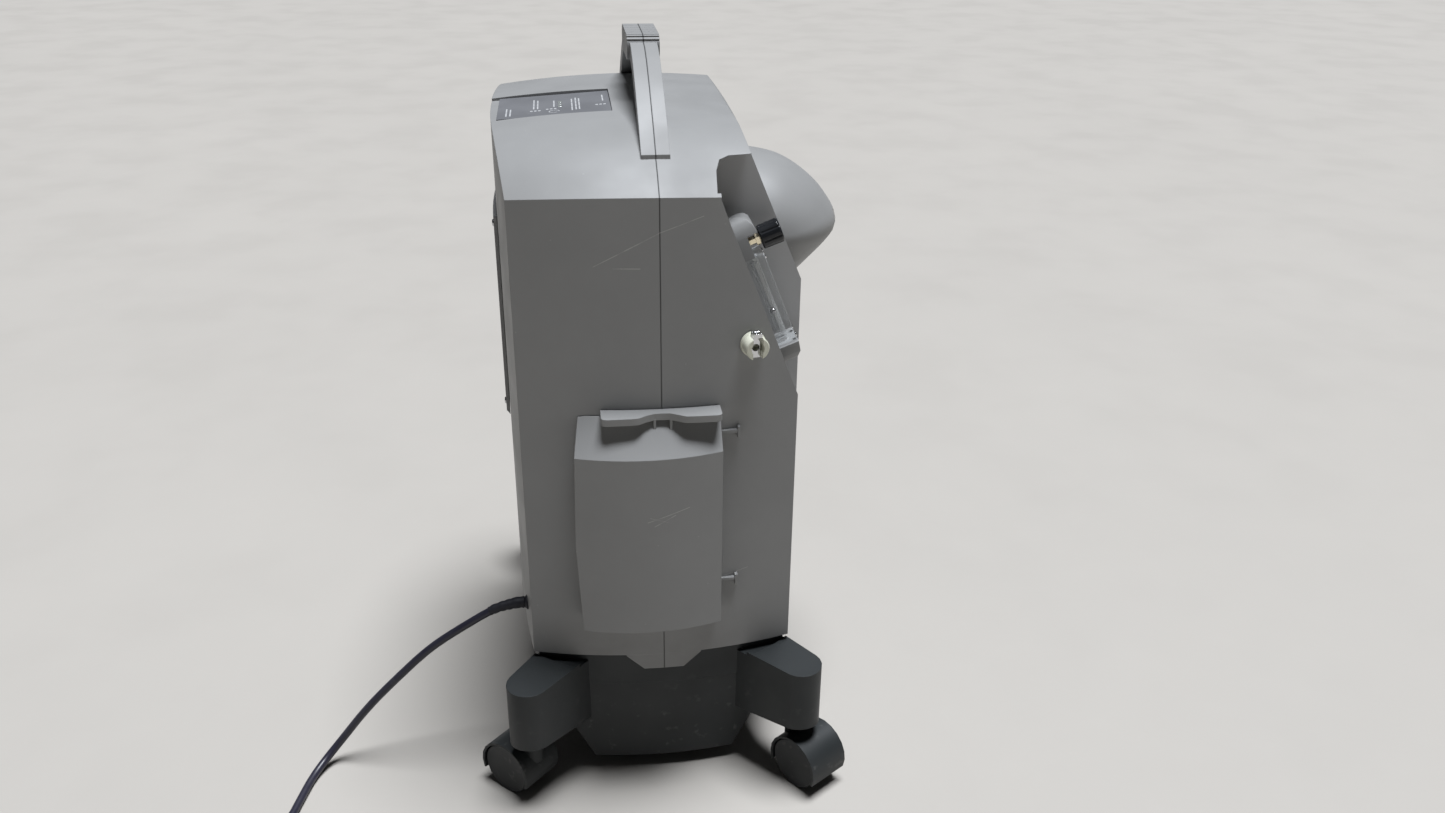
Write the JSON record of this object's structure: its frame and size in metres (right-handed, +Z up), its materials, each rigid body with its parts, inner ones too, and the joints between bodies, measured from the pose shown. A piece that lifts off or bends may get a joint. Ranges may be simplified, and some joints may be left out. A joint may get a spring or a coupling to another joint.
{
  "type": "oxygen concentrator",
  "caption": "Upright oxygen concentrator on twin-wheel casters, with side flowmeter, hose coupling, filter door, dome display and carrying handle.",
  "frame": {"origin": "on the floor under the middle of the machine's footprint, lead left out", "axes": "+X out of the display dome's front, -Y out of the side with the filter door and hose coupling, +Z up"},
  "size_m": [0.5507, 0.607, 0.659],
  "materials": {
    "shell_plastic": "fine matt texture",
    "panel_film": "satin printed film",
    "display_glass": "polished, dark",
    "black_plastic": "satin",
    "knob_plastic": "polished",
    "clear_acrylic": "polished, clear",
    "scale_white": "matt",
    "steel": "ground",
    "brass": "turned, bright",
    "chrome": "polished",
    "ivory_plastic": "satin",
    "filter_foam": "open-cell foam",
    "rocker_plastic": "satin gloss",
    "white_plastic": "satin",
    "moulded_rubber": "moulded",
    "cord_sheath": "satin",
    "caster_tread": "moulded",
    "zinc_plate": "zinc plated",
    "cast_aluminium": "die cast",
    "circuit_board": "solder resist"
  },
  "bodies": {
    "casing": {"base_chassis": "black_plastic", "breaker_body": "black_plastic", "caster_stem_front_left": "steel", "caster_stem_front_right": "steel", "caster_stem_rear_left": "steel", "caster_stem_rear_right": "steel", "compressor_head_far": "cast_aluminium", "compressor_head_near": "cast_aluminium", "compressor_motor": "cast_aluminium", "control_board": "circuit_board", "control_panel": "panel_film", "cord_gland": "moulded_rubber", "coupling_body": "ivory_plastic", "display_window": "display_glass", "equipment_deck": "zinc_plate", "exhaust_muffler": "filter_foam", "fan_housing": "black_plastic", "flowmeter_bezel": "shell_plastic", "flowmeter_body": "clear_acrylic", "flowmeter_scale": "scale_white", "front_dome": "shell_plastic", "front_shell": "shell_plastic", "hinge_strap_lower": "shell_plastic", "hinge_strap_upper": "shell_plastic", "intake_filter": "filter_foam", "lead_coil": "cord_sheath", "lead_tail": "cord_sheath", "mains_lead": "cord_sheath", "plug_body": "moulded_rubber", "plug_pin_left": "brass", "plug_pin_right": "brass", "product_filter": "white_plastic", "product_tank": "white_plastic", "rear_panel": "shell_plastic", "rear_shell": "shell_plastic", "sieve_bed_far": "white_plastic", "sieve_bed_near": "white_plastic", "switch_frame": "black_plastic", "valve_manifold": "cast_aluminium", "valve_nut": "brass"},
    "breaker_button_body": {"breaker_button": "white_plastic"},
    "coupling_latch_body": {"coupling_latch": "chrome"},
    "fan_rotor_body": {"fan_rotor": "black_plastic"},
    "filter_door_body": {"filter_door": "shell_plastic"},
    "float_ball_body": {"float_ball": "steel"},
    "flow_knob_body": {"flow_knob": "knob_plastic"},
    "power_rocker_body": {"power_rocker": "rocker_plastic"},
    "fork_rear_right": {"caster_fork_rear_right": "black_plastic"},
    "wheel_rear_right_a": {"caster_wheel_rear_right_a": "caster_tread"},
    "wheel_rear_right_b": {"caster_wheel_rear_right_b": "caster_tread"},
    "fork_front_right": {"caster_fork_front_right": "black_plastic"},
    "wheel_front_right_a": {"caster_wheel_front_right_a": "caster_tread"},
    "wheel_front_right_b": {"caster_wheel_front_right_b": "caster_tread"},
    "fork_rear_left": {"caster_fork_rear_left": "black_plastic"},
    "wheel_rear_left_a": {"caster_wheel_rear_left_a": "caster_tread"},
    "wheel_rear_left_b": {"caster_wheel_rear_left_b": "caster_tread"},
    "fork_front_left": {"caster_fork_front_left": "black_plastic"},
    "wheel_front_left_a": {"caster_wheel_front_left_a": "caster_tread"},
    "wheel_front_left_b": {"caster_wheel_front_left_b": "caster_tread"}
  },
  "joints": [
    {"name": "swivel_rear_right", "type": "hinge", "parent": "casing", "child": "fork_rear_right", "pos_m": [-0.1272, -0.197, 0.06], "axis": [0, 0, 1], "continuous": true},
    {"name": "roll_rear_right_a", "type": "hinge", "parent": "fork_rear_right", "child": "wheel_rear_right_a", "pos_m": [-0.14036, -0.18472, 0.025], "axis": [-0.682, -0.7314, 0], "continuous": true},
    {"name": "roll_rear_right_b", "type": "hinge", "parent": "fork_rear_right", "child": "wheel_rear_right_b", "pos_m": [-0.14036, -0.18472, 0.025], "axis": [-0.682, -0.7314, 0], "continuous": true},
    {"name": "swivel_front_right", "type": "hinge", "parent": "casing", "child": "fork_front_right", "pos_m": [0.1188, -0.197, 0.06], "axis": [0, 0, 1], "continuous": true},
    {"name": "roll_front_right_a", "type": "hinge", "parent": "fork_front_right", "child": "wheel_front_right_a", "pos_m": [0.12912, -0.21174, 0.025], "axis": [0.8192, 0.5736, 0], "continuous": true},
    {"name": "roll_front_right_b", "type": "hinge", "parent": "fork_front_right", "child": "wheel_front_right_b", "pos_m": [0.12912, -0.21174, 0.025], "axis": [0.8192, 0.5736, 0], "continuous": true},
    {"name": "swivel_rear_left", "type": "hinge", "parent": "casing", "child": "fork_rear_left", "pos_m": [-0.1272, 0.197, 0.06], "axis": [0, 0, 1], "continuous": true},
    {"name": "roll_rear_left_a", "type": "hinge", "parent": "fork_rear_left", "child": "wheel_rear_left_a", "pos_m": [-0.10938, 0.1945, 0.025], "axis": [0.1392, 0.9903, 0], "continuous": true},
    {"name": "roll_rear_left_b", "type": "hinge", "parent": "fork_rear_left", "child": "wheel_rear_left_b", "pos_m": [-0.10938, 0.1945, 0.025], "axis": [0.1392, 0.9903, 0], "continuous": true},
    {"name": "swivel_front_left", "type": "hinge", "parent": "casing", "child": "fork_front_left", "pos_m": [0.1188, 0.197, 0.06], "axis": [0, 0, 1], "continuous": true},
    {"name": "roll_front_left_a", "type": "hinge", "parent": "fork_front_left", "child": "wheel_front_left_a", "pos_m": [0.12912, 0.21174, 0.025], "axis": [-0.8192, 0.5736, 0], "continuous": true},
    {"name": "roll_front_left_b", "type": "hinge", "parent": "fork_front_left", "child": "wheel_front_left_b", "pos_m": [0.12912, 0.21174, 0.025], "axis": [-0.8192, 0.5736, 0], "continuous": true},
    {"name": "door_hinge", "type": "hinge", "parent": "casing", "child": "filter_door_body", "pos_m": [0.0473, -0.192, 0.28], "axis": [0, 0, 1], "range_deg": [0, 100]},
    {"name": "flow_knob_turn", "type": "hinge", "parent": "casing", "child": "flow_knob_body", "pos_m": [0.08989, -0.145, 0.51754], "axis": [0.9288, 0, 0.3705], "range_deg": [-200, 360]},
    {"name": "float_rise", "type": "slide", "parent": "casing", "child": "float_ball_body", "axis": [0.3705, 0, -0.9288], "range_m": [-0.042, 0.024]},
    {"name": "latch_press", "type": "slide", "parent": "casing", "child": "coupling_latch_body", "axis": [0, 0, -1], "range_m": [0, 0.002], "stiffness_N_per_m": 600, "springref_m": -0.001},
    {"name": "power_rock", "type": "hinge", "parent": "casing", "child": "power_rocker_body", "pos_m": [0.1303, 0, 0.39], "axis": [0, -1, 0], "range_deg": [0, 12]},
    {"name": "breaker_press", "type": "slide", "parent": "casing", "child": "breaker_button_body", "axis": [1, 0, 0], "range_m": [0, 0.002], "stiffness_N_per_m": 900, "springref_m": -0.001},
    {"name": "fan_spin", "type": "hinge", "parent": "casing", "child": "fan_rotor_body", "pos_m": [-0.1162, 0, 0.39], "axis": [1, 0, 0], "continuous": true}
  ],
  "couplings": [
    {"joint": "float_rise", "follows": "flow_knob_turn", "m_per_rad": -0.0065}
  ]
}
